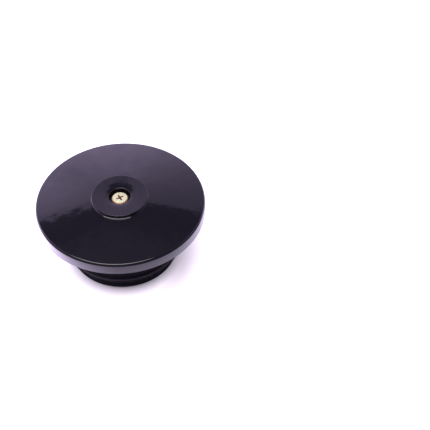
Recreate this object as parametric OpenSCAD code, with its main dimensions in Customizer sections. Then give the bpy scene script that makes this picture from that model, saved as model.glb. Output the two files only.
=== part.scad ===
// Push-in oil filler cap: a disc cover screwed to a hollow sealing plug.
// The cap stands on the nose of its plug at z = 0, and +Z points out of the engine.

/* [Cover] */
// Overall diameter of the cover
cover_d = 60; // [56:0.5:66]
// Height of the rim band round the cover
rim_h = 4.7; // [4:0.1:6]
// Rounding of the rim's upper edge
rim_top_r = 1; // [0.3:0.1:1.4]
// Rounding of the rim's lower edge
rim_low_r = 0.5; // [0.2:0.1:0.8]
// Width of the lip under the rim
lip_w = 2.6; // [2:0.1:3.5]
// Depth of the recess under the cover
recess_h = 2.9; // [2.4:0.1:3.4]
// Draft of the recess wall across its depth
recess_draft = 0.3; // [0.1:0.1:0.6]
// Rise of the cone from the rim to the boss
cone_rise = 2; // [1.4:0.1:3]
// Height of the cone's bulge half way between the rim and the boss
cone_bulge = 0.25; // [0.1:0.05:0.4]

/* [Boss] */
// Diameter of the raised boss in the middle of the cover
boss_d = 19.8; // [16:0.2:24]
// Height of the boss wall above the cone
boss_h = 1.15; // [0.6:0.05:1.6]
// Draft of the boss wall across its height
boss_draft = 0.1; // [0.05:0.05:0.3]
// Slope of the boss's top face from its edge to the knee, in degrees
dish_slope = 1.8; // [1:0.1:2.2]
// Slope of the top face from the knee to the mouth of the screw well, in degrees
mouth_slope = 2.9; // [2.5:0.1:5]
// Diameter of the knee where the top face steepens
knee_d = 12.2; // [10:0.2:14]
// Diameter of the screw well
well_d = 7.8; // [7:0.1:9]
// Rounding of the well's mouth
well_mouth_r = 0.2; // [0.1:0.05:0.5]
// Depth of the screw head's top below the well's mouth
head_sink = 0.75; // [0.5:0.05:2]

/* [Hub under the cover] */
// Height of the hub between the cover's floor and the plug
hub_h = 3.5; // [2.5:0.1:5]
// Outer diameter of the hub ring
hub_d = 30; // [28:0.5:34]
// Wall of the hub ring
hub_wall = 2.2; // [1.5:0.1:3]
// Diameter of the boss round the screw hole
hub_core_d = 11.6; // [9:0.2:14]
// Thickness of the two drive ribs
key_w = 1.8; // [1.2:0.1:2.6]

/* [Moulding marks] */
// Number of round marks on the recess floor
mark_count = 6; // [2:2:8]
// Diameter of one mark
mark_d = 4.2; // [2:0.2:5]
// Height of one mark
mark_h = 0.2; // [0.1:0.05:0.4]
// Distance of their centres from the recess wall
mark_inset = 4.8; // [3:0.2:7]
// Diameter of the gate stub
gate_d = 1.2; // [0.8:0.1:2]
// Distance of the gate stub from the recess wall
gate_inset = 6.7; // [3:0.1:9]

/* [Plug] */
// Length of the plug from its nose to its seat under the hub
plug_l = 20.6; // [19:0.1:26]
// Diameter of the flat end of the nose
nose_flat_d = 32; // [28:0.2:34]
// Diameter of the nose ring
nose_d = 38; // [37:0.1:39.5]
// Height of the bevel that leads the nose in
nose_bevel_h = 1.9; // [1:0.1:3]
// Height of the nose ring's upper face
nose_h = 5.4; // [4.6:0.1:6.4]
// Diameter of the pilot flange behind the seal
pilot_d = 42.1; // [41.5:0.05:42.1]
// Thickness of the pilot flange
pilot_h = 2.8; // [2:0.1:4]
// Diameter of the neck between the flange and the cover
neck_d = 37.2; // [36:0.2:39]
// Rounding of the neck's end
neck_end_r = 0.9; // [0.3:0.1:1.4]
// Diameter of the bore in the plug
bore_d = 22.4; // [20:0.2:26]
// Rounding of the bore's mouth
bore_mouth_r = 0.8; // [0.3:0.1:1.2]
// Thickness of the web between the bore and the hub
web_h = 5.6; // [4:0.1:8]
// Depth of the seat that the washer lies in
seat_h = 0.6; // [0.3:0.1:0.9]
// Height of the ring that centres the plug in the hub
register_h = 1.2; // [0.6:0.1:2]

/* [Seal] */
// Inner diameter of the sealing ring as fitted
seal_inner_d = 35.6; // [35:0.1:36]
// Thickness of the sealing ring
seal_t = 3.55; // [3.53:0.01:3.7]
// Part of the ring's thickness flattened against the groove
seal_flat = 0.1; // [0.05:0.01:0.15]
// Room along the groove beside the sealing ring
groove_play = 0.5; // [0.2:0.05:0.8]

/* [Fasteners] */
// Nominal diameter of the screw
screw_d = 3; // [2.9:0.05:3.1]
// Length of the screw that stands out of the nut
screw_out = 0.65; // [0.4:0.05:2]
// Diameter of the screw head
head_d = 6; // [5.6:0.1:6.4]
// Height of the screw head
head_h = 2.4; // [2.2:0.1:2.6]
// Height of the head's side below its crown
head_side_h = 1.95; // [1.6:0.05:2]
// Diameter of the head's crown
crown_d = 5.2; // [4.6:0.1:5.4]
// Span of the cross recess
cross_span = 3.1; // [2.6:0.1:3.6]
// Width of one slot of the cross recess
cross_w = 0.7; // [0.5:0.05:0.9]
// Depth of the cross recess
cross_h = 1.5; // [1:0.1:1.7]
// Width across the nut's flats
nut_af = 5.5; // [5.3:0.05:5.7]
// Thickness of the nut
nut_h = 2.4; // [2:0.1:2.8]
// Outer diameter of the washer
washer_d = 12; // [9:0.5:13]
// Thickness of the washer
washer_t = 1; // [0.6:0.1:1.4]

/* [Clearances] */
// Radial room of the screw in its holes
hole_room = 0.2; // [0.1:0.05:0.4]
// Radial room between the screw and the nut
thread_room = 0.04; // [0.02:0.01:0.1]
// Radial room of the washer on the screw
washer_room = 0.1; // [0.05:0.05:0.3]
// Room between the plug's register and the hub
register_room = 0.2; // [0.1:0.05:0.4]
// Room round the washer in its seat
seat_room = 1; // [0.5:0.1:1.5]

/* [Hidden] */
$fn = 96;
// Steps in each rounded corner of a profile
arc_steps = 5;
// Small break of an edge that the mould leaves sharp, and of a metal edge
edge_r = 0.25;
burr_r = 0.12;
// Overlap of a cutting shape past the face that it cuts
cut = 1;
// Hexagon corners stand this much further out than its flats
hex_ratio = 1 / cos(30);
// Share that the arc takes up, of the cone's slope and of the face inside the knee
cone_share = 0.85;
knee_share = 0.25;
// Turn of the nut about the screw, and of the cross recess
nut_turn = 12;
cross_turn = 27;
// Radii of the cover
cover_r = cover_d / 2;
recess_r = cover_r - lip_w;
boss_r = boss_d / 2;
boss_foot_r = boss_r + boss_draft;
knee_r = knee_d / 2;
well_r = well_d / 2;
hub_r = hub_d / 2;
hub_core_r = hub_core_d / 2;
socket_r = hub_r - hub_wall;
// Radii of the plug and its holes
hole_r = screw_d / 2 + hole_room;
groove_r = seal_inner_d / 2;
seat_r = washer_d / 2 + seat_room;
// Heights along the axis, from the nose upwards
groove_h = seal_t + groove_play;
pilot_z = nose_h + groove_h;
neck_z = pilot_z + pilot_h;
floor_z = plug_l + hub_h;
rim_z = floor_z - recess_h;
rim_top_z = rim_z + rim_h;
boss_foot_z = rim_top_z + cone_rise;
boss_z = boss_foot_z + boss_h;
knee_z = boss_z - (boss_r - knee_r) * tan(dish_slope);
well_mouth_z = knee_z - (knee_r - well_r) * tan(mouth_slope);
head_top_z = well_mouth_z - head_sink;
head_seat_z = head_top_z - head_h;
bore_floor_z = plug_l - web_h - seat_h;
seat_z = bore_floor_z + seat_h;
washer_z = seat_z - washer_t;
nut_z = washer_z - nut_h;
screw_end_z = nut_z - screw_out;
seal_z = nose_h + groove_h / 2;

function unit(v) = v / norm(v);

// Points of the arc that rounds corner b between a and c with radius r
function arc_corner(a, b, c, r) =
    let (u = unit(a - b), v = unit(c - b), half = acos(u * v) / 2)
    let (m = b + unit(u + v) * r / sin(half))
    let (p = b + u * r / tan(half) - m, q = b + v * r / tan(half) - m)
    [for (i = [0 : arc_steps]) m + r * unit(p * (1 - i / arc_steps) + q * i / arc_steps)];

// Closed outline from corners given as [radius, height, rounding]
function outline(c) =
    let (n = len(c), at = function (i) [c[i % n][0], c[i % n][1]])
    [for (i = [0 : n - 1]) each c[i][2] == 0
        ? [at(i)]
        : arc_corner(at(i + n - 1), at(i), at(i + 1), c[i][2])];

// Solid of revolution about the axis from such corners
module turned(corners) {
    rotate_extrude() polygon(outline(corners));
}

// Pan head screw with a cross recess, its head seated in the cover's well
module clamp_screw() {
    shank_r = screw_d / 2;
    end_chamfer = screw_d / 8;
    dome_h = head_h / 30;
    color("khaki") difference() {
        union() {
            turned([[0, head_seat_z, 0],
                    [head_d / 2, head_seat_z, burr_r],
                    [head_d / 2, head_seat_z + head_side_h, burr_r * 3],
                    [crown_d / 2, head_top_z - dome_h, burr_r * 3],
                    [0, head_top_z, 0]]);
            turned([[0, screw_end_z, 0],
                    [shank_r - end_chamfer, screw_end_z, 0],
                    [shank_r, screw_end_z + end_chamfer, 0],
                    [shank_r, head_seat_z + burr_r, 0],
                    [0, head_seat_z + burr_r, 0]]);
        }
        translate([0, 0, head_top_z - cross_h]) rotate(cross_turn) cross_recess();
    }
}

// Driver recess: two crossed slots that taper towards the bottom
module cross_recess() {
    intersection() {
        union() for (a = [0, 90]) rotate(a) translate([-cross_span / 2, -cross_w / 2, 0])
            cube([cross_span, cross_w, cross_h + cut]);
        cylinder(h = cross_h + cut, r1 = cross_w / 2, r2 = cross_span / 2 * (cross_h + cut) / cross_h);
    }
}

// Cover: conical disc with a rim band, a dished boss and a screw well
module cover() {
    color("black") difference() {
        union() {
            cover_shell();
            hub();
            moulding_marks();
        }
        translate([0, 0, plug_l - cut]) cylinder(h = boss_z - plug_l, r = hole_r);
    }
}

// Shell of the cover: bulging cone and dished boss on top, recess underneath
module cover_shell() {
    cone_half = (cover_r - boss_foot_r) / 2;
    cone_arc_r = cone_share * cone_half * cone_half / cone_bulge;
    knee_arc_r = knee_share * (knee_r - well_r) / tan((mouth_slope - dish_slope) / 2);
    turned([[0, floor_z, 0],
            [recess_r - recess_draft, floor_z, edge_r],
            [recess_r, rim_z, edge_r],
            [cover_r, rim_z, rim_low_r],
            [cover_r, rim_top_z, rim_top_r],
            [boss_foot_r + cone_half, rim_top_z + cone_rise / 2 + cone_bulge, cone_arc_r],
            [boss_foot_r, boss_foot_z, edge_r],
            [boss_r, boss_z, burr_r],
            [knee_r, knee_z, knee_arc_r],
            [well_r, well_mouth_z, well_mouth_r],
            [well_r, head_seat_z, 0],
            [0, head_seat_z, 0]]);
}

// Hub: a ring and a core that the plug seats on, with two ribs that drive it
module hub() {
    difference() {
        translate([0, 0, plug_l]) cylinder(h = hub_h + edge_r, r = hub_r);
        difference() {
            translate([0, 0, plug_l - cut]) cylinder(h = hub_h + cut, r = socket_r);
            translate([0, 0, plug_l - cut]) cylinder(h = hub_h + cut, r = hub_core_r);
            translate([-hub_r, -key_w / 2, plug_l - cut]) cube([hub_d, key_w, hub_h + cut]);
        }
    }
}

// Plain round marks and the gate stub on the floor of the recess
module moulding_marks() {
    step = 360 / mark_count;
    for (i = [0 : mark_count - 1]) rotate(i * step) translate([recess_r - mark_inset, 0, floor_z - mark_h])
        cylinder(h = mark_h + edge_r, d = mark_d);
    rotate(-step * 3 / 2) translate([recess_r - gate_inset, 0, floor_z - mark_h])
        cylinder(h = mark_h + edge_r, d = gate_d);
}

// Plug: bevelled nose, seal groove, pilot flange and neck round a blind bore
module plug() {
    color("black") {
        turned([[hole_r, seat_z, 0],
                [seat_r, seat_z, 0],
                [seat_r, bore_floor_z, 0],
                [bore_d / 2, bore_floor_z, 0],
                [bore_d / 2, 0, bore_mouth_r],
                [nose_flat_d / 2, 0, edge_r],
                [nose_d / 2, nose_bevel_h, edge_r],
                [nose_d / 2, nose_h, edge_r],
                [groove_r, nose_h, 0],
                [groove_r, pilot_z, 0],
                [pilot_d / 2, pilot_z, edge_r],
                [pilot_d / 2, neck_z, edge_r * 2],
                [neck_d / 2, neck_z, edge_r],
                [neck_d / 2, plug_l, neck_end_r],
                [hole_r, plug_l, 0]]);
        register_ring();
    }
}

// Ring on the plug's end that centres it in the hub, slotted for the drive ribs
module register_ring() {
    slot_w = key_w + register_room * 2;
    difference() {
        translate([0, 0, plug_l - edge_r]) cylinder(h = register_h + edge_r, r = socket_r - register_room);
        translate([0, 0, plug_l - cut]) cylinder(h = register_h + cut * 2, r = hub_core_r + register_room);
        translate([-hub_r, -slot_w / 2, plug_l]) cube([hub_d, slot_w, register_h + cut]);
    }
}

// Sealing ring: round section, flattened where it grips the groove
module seal_ring() {
    section_r = seal_t / 2;
    color("dimgray") rotate_extrude() intersection() {
        translate([groove_r + section_r - seal_flat, seal_z]) circle(r = section_r, $fn = 48);
        translate([groove_r, seal_z - seal_t]) square([seal_t * 2, seal_t * 2]);
    }
}

// Hexagon nut, chamfered at the corners on both faces
module hex_nut() {
    tip_r = nut_af / 2 * hex_ratio;
    face_r = nut_af / 2 - burr_r;
    cone_r = tip_r + burr_r;
    cone_h = (cone_r - face_r) * tan(30);
    color("khaki") difference() {
        intersection() {
            translate([0, 0, nut_z]) rotate(nut_turn) cylinder(h = nut_h, r = tip_r, $fn = 6);
            turned([[0, nut_z, 0],
                    [face_r, nut_z, 0],
                    [cone_r, nut_z + cone_h, 0],
                    [cone_r, nut_z + nut_h - cone_h, 0],
                    [face_r, nut_z + nut_h, 0],
                    [0, nut_z + nut_h, 0]]);
        }
        translate([0, 0, nut_z - cut]) cylinder(h = nut_h + cut * 2, r = screw_d / 2 + thread_room);
    }
}

// Wide washer that spreads the nut's load on the web
module penny_washer() {
    inner_r = screw_d / 2 + washer_room;
    color("khaki") turned([[inner_r, washer_z, 0],
            [washer_d / 2, washer_z, burr_r],
            [washer_d / 2, seat_z, burr_r],
            [inner_r, seat_z, 0]]);
}

cover();
plug();
seal_ring();
clamp_screw();
hex_nut();
penny_washer();
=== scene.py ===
import math

import bmesh
import bpy
from mathutils import Matrix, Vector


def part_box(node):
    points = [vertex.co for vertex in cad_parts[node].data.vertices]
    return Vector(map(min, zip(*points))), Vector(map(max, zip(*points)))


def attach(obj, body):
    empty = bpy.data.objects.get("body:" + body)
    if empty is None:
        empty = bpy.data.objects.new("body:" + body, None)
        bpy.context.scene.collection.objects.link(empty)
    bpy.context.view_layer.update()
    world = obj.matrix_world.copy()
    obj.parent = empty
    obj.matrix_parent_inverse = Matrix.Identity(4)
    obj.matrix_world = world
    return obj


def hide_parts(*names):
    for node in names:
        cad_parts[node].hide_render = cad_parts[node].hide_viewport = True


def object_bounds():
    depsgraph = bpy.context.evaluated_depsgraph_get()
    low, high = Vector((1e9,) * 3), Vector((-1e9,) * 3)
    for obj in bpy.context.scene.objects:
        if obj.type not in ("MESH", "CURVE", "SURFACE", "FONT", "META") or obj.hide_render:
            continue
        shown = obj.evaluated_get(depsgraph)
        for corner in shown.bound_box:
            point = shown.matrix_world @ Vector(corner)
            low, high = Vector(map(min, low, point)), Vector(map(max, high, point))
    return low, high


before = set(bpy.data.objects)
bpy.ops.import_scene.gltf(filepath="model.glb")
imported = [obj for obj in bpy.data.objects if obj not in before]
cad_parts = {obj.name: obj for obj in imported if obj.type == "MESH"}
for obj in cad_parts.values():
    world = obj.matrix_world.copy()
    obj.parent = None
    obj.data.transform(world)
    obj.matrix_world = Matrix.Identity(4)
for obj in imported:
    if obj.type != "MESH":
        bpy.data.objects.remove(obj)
cad_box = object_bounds()

# Cover: one moulding in polished black plastic, turned in form. A low dome rises from the rim band to a
# raised, dished boss with a well for the screw. Underneath are a recess with a lip round it, a hub that
# the plug seats on, six plain round marks and the stub of the gate.
mm = 0.001
same_place = mm / 100
merge_gap = mm / 10000
smooth_angle = math.radians(32)
sharp_angle = math.radians(50)
soft_edge = 0.25 * mm

cover_low, cover_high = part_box("cover")
cover_r = cover_high.x
hub_foot = cover_low.z
boss_top = cover_high.z
boss_r = 9.9 * mm
boss_foot_r = boss_r + 0.1 * mm
boss_foot = boss_top - 1.15 * mm
rim_top = boss_foot - 2.0 * mm
rim_foot = rim_top - 4.7 * mm
band_top = rim_top - 0.85 * mm
band_turn = 0.9 * mm
edge_line = rim_top + 0.02 * mm
edge_line_r = cover_r - 0.36 * mm
edge_line_turn = 0.4 * mm
dome_mid_r = (cover_r + boss_foot_r) / 2
dome_rise = 0.25 * mm
dome_mid = (rim_top + boss_foot) / 2 + dome_rise
dome_turn = 359 * mm
knee_r = 6.1 * mm
knee = boss_top - 0.12 * mm
knee_turn = 57 * mm
well_r = 3.9 * mm
well_mouth = boss_top - 0.23 * mm
head_seat = boss_top - 3.38 * mm
screw_hole_r = 1.7 * mm
recess_floor = hub_foot + 3.5 * mm
recess_r = cover_r - 2.6 * mm
recess_draft = 0.3 * mm
hub_r = 15 * mm
socket_r = 12.8 * mm
core_r = 5.8 * mm


def pick(piece, test):
    """Select, in edit mode, the vertices whose place passes the test."""
    bpy.ops.mesh.select_mode(type="VERT")
    bpy.ops.mesh.select_all(action="DESELECT")
    shape = bmesh.from_edit_mesh(piece.data)
    for vertex in shape.verts:
        vertex.select_set(test(vertex.co))
    shape.select_flush(True)
    bmesh.update_edit_mesh(piece.data)


def start(name, add, **placing):
    """Add a primitive by itself, name it and move its place into its mesh."""
    bpy.ops.object.select_all(action="DESELECT")
    add(**placing)
    bpy.ops.object.transform_apply(location=True, rotation=True, scale=True)
    piece = bpy.context.object
    piece.name = piece.data.name = name
    return piece


def spin(name, corners, steps=288, segments=8):
    """Spin half a section about the axis into one closed mesh.

    Each corner of the section is a radius, a height and the radius of its rounding.
    """
    piece = start(name, bpy.ops.mesh.primitive_plane_add, size=mm,
                  location=(corners[0][0], 0, corners[0][1]))
    bpy.ops.object.mode_set(mode="EDIT")
    bpy.ops.mesh.merge(type="CENTER")
    for here, there in zip(corners, corners[1:]):
        step = (there[0] - here[0], 0, there[1] - here[1])
        bpy.ops.mesh.extrude_region_move(TRANSFORM_OT_translate={"value": step})
    bpy.ops.mesh.select_all(action="SELECT")
    bpy.ops.mesh.edge_face_add()
    for i, (radius, height, rounding) in enumerate(corners):
        if rounding:
            before, after = corners[i - 1], corners[(i + 1) % len(corners)]
            turn_in = math.atan2(before[1] - height, before[0] - radius)
            turn_out = math.atan2(after[1] - height, after[0] - radius)
            half = abs((turn_in - turn_out + math.pi) % math.tau - math.pi) / 2
            pick(piece, lambda p: math.hypot(p.x - radius, p.z - height) < same_place)
            bpy.ops.mesh.bevel(offset=rounding / math.tan(half), segments=segments, affect="VERTICES",
                               clamp_overlap=False)
    bpy.ops.mesh.select_all(action="SELECT")
    bpy.ops.mesh.delete(type="ONLY_FACE")
    bpy.ops.mesh.select_all(action="SELECT")
    bpy.ops.mesh.spin(steps=steps, angle=math.tau, center=(0, 0, 0), axis=(0, 0, 1))
    clean(piece)
    return piece


def clean(piece):
    """Merge doubles, drop loose edges and turn all faces outwards, then leave edit mode."""
    bpy.ops.mesh.select_all(action="SELECT")
    bpy.ops.mesh.remove_doubles(threshold=merge_gap)
    bpy.ops.mesh.delete_loose(use_verts=True, use_edges=True, use_faces=False)
    bpy.ops.mesh.select_all(action="SELECT")
    bpy.ops.mesh.normals_make_consistent(inside=False)
    bpy.ops.object.mode_set(mode="OBJECT")


def choose(piece):
    """Make a piece the only one selected, and the active one."""
    bpy.ops.object.select_all(action="DESELECT")
    piece.select_set(True)
    bpy.context.view_layer.objects.active = piece


def apply(piece, kind, **settings):
    """Put one modifier on a piece and apply it."""
    choose(piece)
    modifier = piece.modifiers.new(kind.lower(), kind)
    for key, value in settings.items():
        setattr(modifier, key, value)
    bpy.ops.object.modifier_apply(modifier=modifier.name)


def ease_edges(piece, width, segments=3, angle=sharp_angle):
    """Round the edges of a piece that turn by more than an angle."""
    apply(piece, "BEVEL", width=width, segments=segments, limit_method="ANGLE", angle_limit=angle)


def combine(piece, other, operation):
    """Join another mesh to a piece, or cut it out of it, and drop the other."""
    apply(piece, "BOOLEAN", operation=operation, object=other, solver="EXACT")
    bpy.data.objects.remove(other)


def smooth(piece):
    """Shade round forms smooth, with flat faces kept flat up to their rounded edges."""
    choose(piece)
    bpy.ops.object.shade_smooth_by_angle(angle=smooth_angle)
    apply(piece, "WEIGHTED_NORMAL", keep_sharp=True, weight=100)


def dress(piece, material, node):
    """Give a piece its finish and let it stand for its CAD node."""
    piece.data.materials.clear()
    piece.data.materials.append(material)
    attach(piece, "root")
    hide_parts(node)


def wire(tree, kind, feeds, **settings):
    """Add a shader node with its settings, and feed its inputs from values or other nodes' outputs."""
    node = tree.nodes.new(kind)
    for key, value in settings.items():
        setattr(node, key, value)
    for socket, source in feeds.items():
        if isinstance(source, bpy.types.NodeSocket):
            tree.links.new(source, node.inputs[socket])
        else:
            node.inputs[socket].default_value = source
    return node


def empty_material(name):
    """A material without nodes, and its node tree."""
    material = bpy.data.materials.new(name)
    material.use_nodes = True
    material.node_tree.nodes.clear()
    return material, material.node_tree


def group_with(name, inputs, outputs):
    """An empty shader node group, with its input and output nodes."""
    group = bpy.data.node_groups.new(name, "ShaderNodeTree")
    for label, kind in inputs.items():
        group.interface.new_socket(label, in_out="INPUT", socket_type=kind)
    for label, kind in outputs.items():
        group.interface.new_socket(label, in_out="OUTPUT", socket_type=kind)
    return group, group.nodes.new("NodeGroupInput"), group.nodes.new("NodeGroupOutput")


def place_of(tree):
    """The place on the piece, in the shared frame."""
    return wire(tree, "ShaderNodeTexCoord", {}).outputs["Object"]


def math_node(tree, operation, first, *others):
    """Combine values one after another, by a sum, a product or another operation."""
    result = first
    for other in others:
        result = wire(tree, "ShaderNodeMath", {0: result, 1: other}, operation=operation).outputs[0]
    return result


def noise(tree, place, scale, detail=2.0, roughness=0.5):
    """Soft noise at a number of features per metre."""
    feeds = {"Vector": place, "Scale": scale, "Detail": detail, "Roughness": roughness}
    return wire(tree, "ShaderNodeTexNoise", feeds).outputs["Fac"]


def between(tree, value, low, high, out_low=0.0, out_high=1.0):
    """Stretch the part of a value between two limits to a new range."""
    feeds = {"Value": value, "From Min": low, "From Max": high, "To Min": out_low, "To Max": out_high}
    return wire(tree, "ShaderNodeMapRange", feeds, clamp=True).outputs["Result"]


def blend(tree, share, first, second):
    """Go from one colour to another. A colour is red, green and blue, or another node's output."""
    feeds = {0: share}
    for socket, colour in ((6, first), (7, second)):
        feeds[socket] = (*colour, 1) if isinstance(colour, tuple) else colour
    return wire(tree, "ShaderNodeMix", feeds, data_type="RGBA").outputs[2]


def bump_from(tree, height):
    """A normal from a height in metres."""
    feeds = {"Height": height, "Strength": 1.0, "Distance": 1.0}
    return wire(tree, "ShaderNodeBump", feeds).outputs["Normal"]


def moulded_skin():
    """Surface of a polished moulding: waves, fine peel, hairlines from wiping, smudges and dust specks."""
    group, given, result = group_with(
        "moulded_skin",
        {"Colour": "NodeSocketColor", "Gloss": "NodeSocketFloat", "Smudge": "NodeSocketFloat",
         "Wave": "NodeSocketFloat", "Peel": "NodeSocketFloat", "Dust": "NodeSocketFloat"},
        {"Colour": "NodeSocketColor", "Roughness": "NodeSocketFloat", "Height": "NodeSocketFloat"})
    dust_colour = (0.32, 0.3, 0.33)
    dust_roughness = 0.5
    hairline_roughness = 0.03
    wipe_angle = 0.6
    place = place_of(group)
    waves = math_node(group, "MULTIPLY", noise(group, place, 110, detail=1.0), given.outputs["Wave"])
    peel = math_node(group, "MULTIPLY", noise(group, place, 1100), given.outputs["Peel"])
    smudges = between(group, noise(group, place, 60, detail=5.0, roughness=0.65), 0.5, 0.72)
    haze = math_node(group, "MULTIPLY", smudges, given.outputs["Smudge"])
    wipes = {"Vector": place, "Rotation": (0, 0, wipe_angle), "Scale": (5200, 90, 90)}
    streaks = wire(group, "ShaderNodeMapping", wipes).outputs["Vector"]
    hairlines = between(group, noise(group, streaks, 1.0, detail=0.0), 0.74, 0.8)
    lines = math_node(group, "MULTIPLY", hairlines, hairline_roughness)
    specks = wire(group, "ShaderNodeTexVoronoi", {"Vector": place, "Scale": 260.0}).outputs["Distance"]
    chance = between(group, noise(group, place, 170), 0.6, 0.66)
    dust = math_node(group, "MULTIPLY", between(group, specks, 0.075, 0.05), chance, given.outputs["Dust"])
    grit = math_node(group, "MULTIPLY", dust, dust_roughness)
    colour = blend(group, dust, given.outputs["Colour"], dust_colour)
    rough = math_node(group, "ADD", given.outputs["Gloss"], haze, lines, grit)
    height = math_node(group, "ADD", waves, peel)
    group.links.new(colour, result.inputs["Colour"])
    group.links.new(rough, result.inputs["Roughness"])
    group.links.new(height, result.inputs["Height"])
    return group


skin_group = moulded_skin()


def black_moulding(name, colour, gloss, smudge, wave, peel, dust):
    """Polished black plastic: a dark body under a clear surface skin."""
    material, tree = empty_material(name)
    feeds = {"Colour": (*colour, 1), "Gloss": gloss, "Smudge": smudge,
             "Wave": wave, "Peel": peel, "Dust": dust}
    skin = wire(tree, "ShaderNodeGroup", feeds, node_tree=skin_group)
    surface = wire(tree, "ShaderNodeBsdfPrincipled", {
        "Base Color": skin.outputs["Colour"],
        "Roughness": skin.outputs["Roughness"],
        "Normal": bump_from(tree, skin.outputs["Height"]),
        "IOR": 1.5,
        "Coat Weight": 1.0,
        "Coat Roughness": 0.02,
        "Coat IOR": 1.5,
    })
    wire(tree, "ShaderNodeOutputMaterial", {"Surface": surface.outputs["BSDF"]})
    return material


cover = spin("cover_moulding", [
    (screw_hole_r, hub_foot, 0),
    (core_r, hub_foot, soft_edge),
    (core_r, recess_floor, soft_edge),
    (socket_r, recess_floor, soft_edge),
    (socket_r, hub_foot, soft_edge),
    (hub_r, hub_foot, soft_edge),
    (hub_r, recess_floor, soft_edge),
    (recess_r - recess_draft, recess_floor, soft_edge),
    (recess_r, rim_foot, soft_edge),
    (cover_r, rim_foot, 0.5 * mm),
    (cover_r, band_top, band_turn),
    (edge_line_r, edge_line, edge_line_turn),
    (dome_mid_r, dome_mid, dome_turn),
    (boss_foot_r, boss_foot, 0.2 * mm),
    (boss_r, boss_top, 0.12 * mm),
    (knee_r, knee, knee_turn),
    (well_r, well_mouth, 0.17 * mm),
    (well_r, head_seat, 0.1 * mm),
    (screw_hole_r, head_seat, 0),
])
rib_w = 1.8 * mm
rib_bite = 0.5 * mm
for side in (-1, 1):
    rib = start(f"rib_{side}", bpy.ops.mesh.primitive_cube_add, size=1,
                location=(side * (core_r + socket_r) / 2, 0, (hub_foot + recess_floor + rib_bite) / 2),
                scale=(socket_r - core_r + 2 * rib_bite, rib_w, recess_floor - hub_foot + rib_bite))
    combine(cover, rib, "UNION")
mark_count = 6
mark_r = 2.1 * mm
mark_h = 0.2 * mm
mark_ring_w = 0.35 * mm
mark_groove = 0.12 * mm
mark_reach = recess_r - 4.8 * mm
for i in range(mark_count):
    angle = i * math.tau / mark_count
    mark = start(f"mark_{i}", bpy.ops.mesh.primitive_cylinder_add, vertices=64, radius=mark_r,
                 depth=2 * mark_h,
                 location=(mark_reach * math.cos(angle), mark_reach * math.sin(angle), recess_floor))
    bpy.ops.object.mode_set(mode="EDIT")
    pick(mark, lambda p: p.z < recess_floor)
    bpy.ops.mesh.inset(thickness=mark_ring_w, depth=0)
    bpy.ops.mesh.inset(thickness=mark_groove, depth=-mark_groove)
    bpy.ops.object.mode_set(mode="OBJECT")
    ease_edges(mark, width=0.05 * mm)
    combine(cover, mark, "UNION")
gate_r = 0.6 * mm
gate_h = mark_h
gate_reach = recess_r - 6.7 * mm
gate = start("gate_stub", bpy.ops.mesh.primitive_cylinder_add, vertices=32, radius=gate_r,
             depth=2 * gate_h, location=(0, -gate_reach, recess_floor))
ease_edges(gate, width=0.08 * mm)
combine(cover, gate, "UNION")
smooth(cover)
cover_black = black_moulding("cover_black", colour=(0.0125, 0.0115, 0.0185), gloss=0.035, smudge=0.03,
                             wave=2.5e-6, peel=1.2e-7, dust=0.5)
dress(cover, cover_black, "cover")

# Plug: the hollow moulding below the cover, in the same black plastic. Its nose is bevelled to lead it in,
# a groove holds the sealing ring, the flange behind it guides the cap in the neck, and the screw's nut
# sits in its bore.
plug_low, plug_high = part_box("plug")
seal_low, seal_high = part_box("seal_ring")
nose = plug_low.z
nose_flat_r = 16 * mm
nose_r = 19 * mm
nose_shoulder = nose + 1.9 * mm
nose_top = nose + 5.4 * mm
groove_r = 17.8 * mm
pilot_r = plug_high.x
pilot_foot = nose_top + 4.05 * mm
pilot_top = pilot_foot + 2.8 * mm
neck_r = 18.6 * mm
bore_r = 11.2 * mm
web_foot = hub_foot - 5.6 * mm
bore_floor = web_foot - 0.6 * mm
seat_r = 7 * mm
register_top = plug_high.z
register_out = socket_r - 0.2 * mm
register_in = core_r + 0.2 * mm
slot_w = 2.2 * mm
slot_h = 2 * mm
plug = spin("plug_moulding", [
    (screw_hole_r, web_foot, 0),
    (seat_r, web_foot, 0.1 * mm),
    (seat_r, bore_floor, 0.15 * mm),
    (bore_r, bore_floor, 0.5 * mm),
    (bore_r, nose, 0.8 * mm),
    (nose_flat_r, nose, soft_edge),
    (nose_r, nose_shoulder, soft_edge),
    (nose_r, nose_top, soft_edge),
    (groove_r, nose_top, 0.2 * mm),
    (groove_r, pilot_foot, 0.2 * mm),
    (pilot_r, pilot_foot, soft_edge),
    (pilot_r, pilot_top, 0.5 * mm),
    (neck_r, pilot_top, soft_edge),
    (neck_r, hub_foot, 0.9 * mm),
    (register_out, hub_foot, 0.15 * mm),
    (register_out, register_top, 0.15 * mm),
    (register_in, register_top, 0.15 * mm),
    (register_in, hub_foot, 0.15 * mm),
    (screw_hole_r, hub_foot, 0),
])
slot = start("rib_slot", bpy.ops.mesh.primitive_cube_add, size=1,
             location=(0, 0, hub_foot + slot_h / 2), scale=(2 * hub_r, slot_w, slot_h))
combine(plug, slot, "DIFFERENCE")
smooth(plug)
plug_black = black_moulding("plug_black", colour=(0.0115, 0.011, 0.0165), gloss=0.05, smudge=0.05,
                            wave=1.5e-6, peel=1.6e-7, dust=0.3)
dress(plug, plug_black, "plug")

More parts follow.
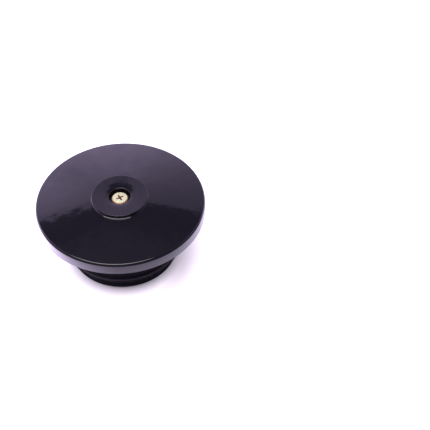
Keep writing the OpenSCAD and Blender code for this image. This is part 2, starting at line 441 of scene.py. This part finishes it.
# Sealing ring: a moulded ring of oiled black rubber in the plug's groove, pulled flat where it grips the
# groove, with the faint parting line of its mould round the outside.
seal_r = (seal_high.z - seal_low.z) / 2
seal_mid = seal_high.x - seal_r
seal_height = (seal_low.z + seal_high.z) / 2
flash_h = 0.04 * mm
flash_reach = 0.05 * mm
cut_gap = 0.001 * mm
seal = start("seal_ring_rubber", bpy.ops.mesh.primitive_circle_add, vertices=60,
             radius=seal_r - flash_h / 2, location=(seal_mid, 0, seal_height),
             rotation=(math.pi / 2, 0, 0))
bpy.ops.object.mode_set(mode="EDIT")
pick(seal, lambda p: p.x > seal_mid and abs(p.z - seal_height) < flash_reach)
bpy.ops.transform.translate(value=(flash_h / 2, 0, 0))
bpy.ops.mesh.select_all(action="SELECT")
bpy.ops.mesh.bisect(plane_co=(groove_r, 0, 0), plane_no=(1, 0, 0), clear_inner=True)
pick(seal, lambda p: p.x < groove_r + cut_gap)
bpy.ops.mesh.edge_face_add()
bpy.ops.mesh.select_all(action="SELECT")
bpy.ops.mesh.spin(steps=288, angle=math.tau, center=(0, 0, 0), axis=(0, 0, 1))
clean(seal)
smooth(seal)


def oiled_rubber():
    """Black rubber with a film of oil: soft mottling, and a finer grain than the plastic beside it."""
    material, tree = empty_material("seal_black")
    place = place_of(tree)
    mottle = noise(tree, place, 420, detail=3.0)
    film = noise(tree, place, 160, detail=4.0, roughness=0.6)
    grain = math_node(tree, "MULTIPLY", noise(tree, place, 5200), 3e-6)
    surface = wire(tree, "ShaderNodeBsdfPrincipled", {
        "Base Color": blend(tree, mottle, (0.010, 0.010, 0.013), (0.022, 0.021, 0.026)),
        "Roughness": between(tree, film, 0.4, 0.7, 0.34, 0.5),
        "Normal": bump_from(tree, grain),
        "IOR": 1.4,
    })
    wire(tree, "ShaderNodeOutputMaterial", {"Surface": surface.outputs["BSDF"]})
    return material


dress(seal, oiled_rubber(), "seal_ring")

# Clamp screw: a cold-headed M3 pan head screw in yellow passivated zinc, driven from above through cover
# and plug. Its cross recess is punched, and its thread is rolled and comes out of the nut in the bore.
screw_low, screw_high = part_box("clamp_screw")
head_top = head_seat + 2.4 * mm
head_r = screw_high.x
head_side_top = head_top - 0.45 * mm
crown_r = 2.6 * mm
crown_foot = head_top - 0.08 * mm
shank_r = 1.5 * mm
pitch = 0.5 * mm
thread_depth = 0.613 * pitch
root_r = shank_r - thread_depth
screw = spin("clamp_screw_steel", [
    (0, head_seat, 0),
    (head_r, head_seat, 0.12 * mm),
    (head_r, head_side_top, 0.35 * mm),
    (crown_r, crown_foot, 0.4 * mm),
    (0, head_top, 0),
], steps=96)
cross_turn = math.radians(27)
cross_span = 3.1 * mm
cross_w = 0.7 * mm
cross_h = 1.5 * mm
cross_over = 0.2 * mm
cross_taper = 0.42
for i in range(2):
    cross = start(f"cross_{i}", bpy.ops.mesh.primitive_cube_add, size=1,
                  location=(0, 0, head_top - (cross_h - cross_over) / 2),
                  rotation=(0, 0, cross_turn + i * math.pi / 2),
                  scale=(cross_span, cross_w, cross_h + cross_over))
    bpy.ops.object.mode_set(mode="EDIT")
    pick(cross, lambda p: p.z < head_top - cross_h / 2)
    bpy.ops.transform.resize(value=(cross_taper, cross_taper, 1),
                             center_override=(0, 0, head_top - cross_h))
    bpy.ops.object.mode_set(mode="OBJECT")
    ease_edges(cross, width=0.08 * mm, angle=math.radians(40))
    combine(screw, cross, "DIFFERENCE")
thread = start("thread", bpy.ops.mesh.primitive_plane_add, size=mm,
               location=(root_r, 0, screw_low.z - pitch))
bpy.ops.object.mode_set(mode="EDIT")
bpy.ops.mesh.merge(type="CENTER")
crest = (0, pitch / 8)
flank_out = (thread_depth, 5 / 16 * pitch)
flank_in = (-thread_depth, 7 / 16 * pitch)
for out, up in (crest, flank_out, crest, flank_in):
    bpy.ops.mesh.extrude_region_move(TRANSFORM_OT_translate={"value": (out, 0, up)})
bpy.ops.object.mode_set(mode="OBJECT")
spare_turns = 3
turns = int((head_seat - screw_low.z) / pitch) + spare_turns
apply(thread, "SCREW", axis="Z", screw_offset=pitch, iterations=turns, steps=48, render_steps=48,
      use_merge_vertices=True, merge_threshold=merge_gap)
bpy.ops.object.mode_set(mode="EDIT")
thread_top = head_seat + 0.2 * mm
for height, side in ((screw_low.z, -1), (thread_top, 1)):
    bpy.ops.mesh.select_all(action="SELECT")
    bpy.ops.mesh.bisect(plane_co=(0, 0, height), plane_no=(0, 0, side), clear_outer=True, use_fill=True)
clean(thread)
point_turn = 0.375 * mm
point_spare = 0.3 * mm
point_foot = screw_low.z - 0.001 * mm
point_tip = screw_low.z - 0.5 * mm
point_top = head_seat + 1 * mm
point = spin("thread_point", [
    (0, point_tip, 0),
    (shank_r - point_turn, point_foot, 0),
    (shank_r + point_spare, point_foot + point_turn + point_spare, 0),
    (shank_r + point_spare, point_top, 0),
    (0, point_top, 0),
], steps=96)
combine(thread, point, "INTERSECT")
combine(screw, thread, "UNION")
smooth(screw)


def plating(name, bright, deep, roughness, grain_scale, metal=1.0, painted_shade=(-1.0, -1.0)):
    """Yellow passivated zinc. Its film drifts from a bright to a deep colour, with a hint of rainbow.

    metal is the share that shines as bare metal. Between the two heights given for the painted shade, the
    film is painted dark brown as shade.
    """
    rainbow_colour = (0.88, 0.66, 0.62)
    shade_colour = (0.42, 0.2, 0.13)
    shade_fade = 0.05 * mm
    grain_h = 2.5e-6
    material, tree = empty_material(name)
    place = place_of(tree)
    drift = between(tree, noise(tree, place, 420, detail=3.0, roughness=0.6), 0.35, 0.68)
    rainbow = between(tree, noise(tree, place, 900), 0.52, 0.75, 0.0, 0.3)
    film = blend(tree, rainbow, blend(tree, drift, bright, deep), rainbow_colour)
    level = wire(tree, "ShaderNodeSeparateXYZ", {"Vector": place}).outputs["Z"]
    shade_foot, shade_top = painted_shade
    # Painted shade: between the two heights the film turns dark brown, for the parts of a head that lie in
    # shade.
    shade_share = math_node(tree, "MULTIPLY", between(tree, level, shade_top - shade_fade, shade_top, 1.0, 0.0),
                      between(tree, level, shade_foot, shade_foot + shade_fade, 0.0, 1.0))
    fine = noise(tree, place, grain_scale, detail=3.0, roughness=0.7)
    surface = wire(tree, "ShaderNodeBsdfPrincipled", {
        "Base Color": blend(tree, shade_share, film, shade_colour),
        "Metallic": metal,
        "Roughness": between(tree, fine, 0.3, 0.7, roughness - 0.06, roughness + 0.1),
        "Normal": bump_from(tree, math_node(tree, "MULTIPLY", fine, grain_h)),
    })
    wire(tree, "ShaderNodeOutputMaterial", {"Surface": surface.outputs["BSDF"]})
    return material


# Below its top face, the head's sides and its cross recess are painted dark brown as painted shade.
screw_zinc = plating("screw_zinc", (1.0, 0.98, 0.68), (0.96, 0.98, 0.58), roughness=0.5, grain_scale=7000,
                     metal=0.4, painted_shade=(head_seat, head_top - 0.1 * mm))
dress(screw, screw_zinc, "clamp_screw")

# Nut: a cold-formed M3 hexagon nut in the same plating, chamfered at its corners and at the mouths of its
# hole. It pulls the screw tight inside the plug's bore.
nut_low, nut_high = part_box("hex_nut")
nut_turn = math.radians(12)
flat_r = 2.75 * mm
corner_r = flat_r / math.cos(math.pi / 6)
cone_step = 0.12 * mm
face_r = flat_r - cone_step
cone_r = corner_r + cone_step
cone_h = (cone_r - face_r) * math.tan(math.pi / 6)
nut_hole_r = shank_r + 0.04 * mm
nut_mouth = 0.25 * mm
nut = start("hex_nut_steel", bpy.ops.mesh.primitive_cylinder_add, vertices=6, radius=corner_r,
            depth=nut_high.z - nut_low.z, location=(0, 0, (nut_low.z + nut_high.z) / 2),
            rotation=(0, 0, nut_turn + math.pi / 2))
ease_edges(nut, width=0.04 * mm, segments=2)
nut_cone = spin("nut_cone", [
    (nut_hole_r + nut_mouth, nut_low.z, 0),
    (face_r, nut_low.z, 0),
    (cone_r, nut_low.z + cone_h, 0),
    (cone_r, nut_high.z - cone_h, 0),
    (face_r, nut_high.z, 0),
    (nut_hole_r + nut_mouth, nut_high.z, 0),
    (nut_hole_r, nut_high.z - nut_mouth, 0),
    (nut_hole_r, nut_low.z + nut_mouth, 0),
], steps=96)
combine(nut, nut_cone, "INTERSECT")
smooth(nut)
nut_zinc = plating("nut_zinc", (0.95, 0.88, 0.66), (0.9, 0.74, 0.44), roughness=0.3, grain_scale=5200)
dress(nut, nut_zinc, "hex_nut")

# Washer: a wide stamped washer in the same plating. The punch leaves one edge of the sheet rounded and the
# other nearly sharp. It spreads the nut's load on its seat at the top of the bore.
washer_low, washer_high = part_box("penny_washer")
washer_r = washer_high.x
washer_hole_r = shank_r + 0.1 * mm
washer_crisp = 0.06 * mm
washer = spin("penny_washer_steel", [
    (washer_hole_r, washer_low.z, 0.16 * mm),
    (washer_r, washer_low.z, 0.2 * mm),
    (washer_r, washer_high.z, washer_crisp),
    (washer_hole_r, washer_high.z, washer_crisp),
], steps=192, segments=4)
smooth(washer)
washer_zinc = plating("washer_zinc", (0.93, 0.85, 0.6), (0.88, 0.72, 0.42), roughness=0.3, grain_scale=3600)
dress(washer, washer_zinc, "penny_washer")

# Floor: a wide sheet of pale card that the cap stands on. It is seen nearly white, takes the cap's soft
# shadow from the lamp and a painted shadow round the stem, and is open from below.
floor_r = 3.0
floor_sheet = start("floor_sheet", bpy.ops.mesh.primitive_circle_add, vertices=96, radius=floor_r,
                    fill_type="NGON", location=(0, 0, cad_box[0].z))


def pale_card():
    """Pale card with a light of its own, which depends on who looks and on the distance from the axis.

    The camera sees its light fade to dark under the cap, a painted shadow that reaches further on the right
    of the stem. Reflections see a painted reflection: a bright ring of its light round the cap, brighter on
    the left, and a base painted dark by the stem and far off. A small patch glows to light the inside of
    the bore.
    """
    shadow_fade = (16.5 * mm, 21.9 * mm)
    shadow_across = (13 * mm, 21 * mm)
    shadow_reach = (22 * mm, 28 * mm)
    ring_start = (34 * mm, 40 * mm)
    ring_end = (88 * mm, 104 * mm)
    ring_inside = (46 * mm, 52 * mm)
    ring_left = (-42 * mm, -4 * mm)
    bore_patch = (bore_r - 0.5 * mm, bore_r)
    seen_tint, mirrored_tint = (0.96, 0.88, 1.0), (0.8, 0.68, 1.0)
    card_colour, dark_colour = (0.8, 0.755, 0.87), (0.01, 0.01, 0.01)
    material, tree = empty_material("pale_card")
    place = place_of(tree)
    reach = wire(tree, "ShaderNodeVectorMath", {0: place}, operation="LENGTH").outputs["Value"]
    across = wire(tree, "ShaderNodeSeparateXYZ", {"Vector": place}).outputs["X"]
    path = wire(tree, "ShaderNodeLightPath", {})
    seen = math_node(tree, "MAXIMUM", path.outputs["Is Camera Ray"], path.outputs["Is Transmission Ray"])
    mirrored = path.outputs["Is Glossy Ray"]
    # Painted shadow: the light that the camera sees on the card fades under the cap and reaches further on
    # the right.
    shadow = math_node(tree, "MULTIPLY", between(tree, across, *shadow_across, 0.0, 0.4),
                       between(tree, reach, *shadow_reach, 1.0, 0.0))
    seen_light = math_node(tree, "MULTIPLY", seen, between(tree, reach, *shadow_fade, 0.07, 0.95),
                           math_node(tree, "SUBTRACT", 1.0, shadow))
    # Painted reflection: reflections see a ring of the card's own light round the cap, tinted lavender and
    # brighter on the left.
    ring = math_node(tree, "MULTIPLY", between(tree, reach, *ring_start, 0.03, 1.0),
                     between(tree, reach, *ring_end, 1.0, 0.05))
    ring_light = math_node(tree, "MULTIPLY", mirrored, ring, between(tree, reach, *ring_inside, 0.9, 0.3),
                           between(tree, across, *ring_left, 3.0, 1.0))
    # The patch under the bore glows for every ray, to light the inside of the bore.
    light = math_node(tree, "ADD", seen_light, ring_light, between(tree, reach, *bore_patch, 0.8, 0.0))
    # Painted shade in reflections: the card's base is painted dark by the stem and far off.
    darkness = math_node(tree, "MULTIPLY", mirrored, math_node(tree, "SUBTRACT", 1.0, ring))
    card = wire(tree, "ShaderNodeBsdfPrincipled", {
        "Base Color": blend(tree, darkness, card_colour, dark_colour),
        "Roughness": 0.9,
        "Specular IOR Level": 0.0,
        "Emission Color": blend(tree, mirrored, seen_tint, mirrored_tint),
        "Emission Strength": light,
    })
    open_back = wire(tree, "ShaderNodeBsdfTransparent", {})
    back = wire(tree, "ShaderNodeNewGeometry", {}).outputs["Backfacing"]
    sides = {0: back, 1: card.outputs["BSDF"], 2: open_back.outputs["BSDF"]}
    mix = wire(tree, "ShaderNodeMixShader", sides)
    wire(tree, "ShaderNodeOutputMaterial", {"Surface": mix.outputs["Shader"]})
    return material


floor_sheet.data.materials.append(pale_card())

# Light: a wide soft box overhead, and a pale wall round the table that fades upwards into a dark ceiling.
# The cap's polish shows the wall behind it and the ceiling in front.
bpy.ops.object.select_all(action="DESELECT")
bpy.ops.object.light_add(type="SUN", rotation=(math.radians(10), math.radians(-9), 0))
soft_box = bpy.context.object
soft_box.name = "soft_box"
soft_box.data.energy = 2.2
soft_box.data.angle = math.radians(52)
soft_box.data.color = (1.0, 0.98, 1.0)

wall_colour = (0.75, 0.615, 0.95)
wall_fade = [(0.0, 1.0), (30, 1.0), (33, 0.8), (37, 0.58), (42, 0.4), (48, 0.3), (49.2, 0.27),
             (50.2, 0.035), (56, 0.025), (60, 0.075), (90, 0.1)]
skyline_dip = 0.13
clutter_h = 0.022
window_way = (-0.3, 0.7, 0.65)
studio = bpy.data.worlds.new("studio")
bpy.context.scene.world = studio
studio.use_nodes = True
room = studio.node_tree
room.nodes.clear()
direction = wire(room, "ShaderNodeTexCoord", {}).outputs["Generated"]
parts = wire(room, "ShaderNodeSeparateXYZ", {"Vector": direction})
jumble = noise(room, direction, 34.0, detail=6.0, roughness=0.7)
clutter = between(room, jumble, 0.3, 0.7, -clutter_h, clutter_h)
sideways = wire(room, "ShaderNodeMath", {0: parts.outputs["X"]}, operation="ABSOLUTE").outputs[0]
skyline = math_node(room, "ADD", parts.outputs["Z"], clutter,
                    math_node(room, "MULTIPLY", sideways, skyline_dip))
wall = wire(room, "ShaderNodeValToRGB", {"Fac": skyline})
ramp = wall.color_ramp
for i, (elevation, level) in enumerate(wall_fade):
    position = math.sin(math.radians(elevation))
    stop = ramp.elements[i] if i < 2 else ramp.elements.new(position)
    stop.position = position
    stop.color = (*[level * part for part in wall_colour], 1)
left_right = between(room, parts.outputs["X"], -0.35, 0.3, 1.4, 0.7)
front_back = between(room, parts.outputs["Y"], -0.55, 0.05, 0.07, 1.0)
from_window = wire(room, "ShaderNodeVectorMath", {0: direction, 1: window_way}, operation="DISTANCE")
window = between(room, from_window.outputs["Value"], 0.05, 0.16, 2.15, 1.35)
strength = math_node(room, "MULTIPLY", left_right, front_back, window)
lit = wire(room, "ShaderNodeBackground", {"Color": wall.outputs["Color"], "Strength": strength})
white = wire(room, "ShaderNodeBackground", {"Color": (1, 1, 1, 1), "Strength": 1.0})
path = wire(room, "ShaderNodeLightPath", {})
views = {0: path.outputs["Is Camera Ray"], 1: lit.outputs["Background"], 2: white.outputs["Background"]}
seen = wire(room, "ShaderNodeMixShader", views)
wire(room, "ShaderNodeOutputWorld", {"Surface": seen.outputs["Shader"]})

# Camera: looks down at the cap from the front, with the cap left of the middle of the frame.
sight = (33.25 * mm, 16.45 * mm, 0)
view_elevation = math.radians(46.65)
view_roll = math.radians(1.96)
view_distance = 581.5 * mm
view_back = view_distance * math.cos(view_elevation)
view_up = view_distance * math.sin(view_elevation)
view_turn = Matrix.Rotation(math.pi / 2 - view_elevation, 3, "X") @ Matrix.Rotation(-view_roll, 3, "Z")
bpy.ops.object.camera_add(location=(sight[0], sight[1] - view_back, view_up), rotation=view_turn.to_euler())
camera = bpy.context.object
camera.data.sensor_width = 36
camera.data.lens = 130.9
camera.data.clip_start = 0.05
camera.data.clip_end = 20
bpy.context.scene.camera = camera
bpy.context.scene.view_settings.view_transform = "Standard"
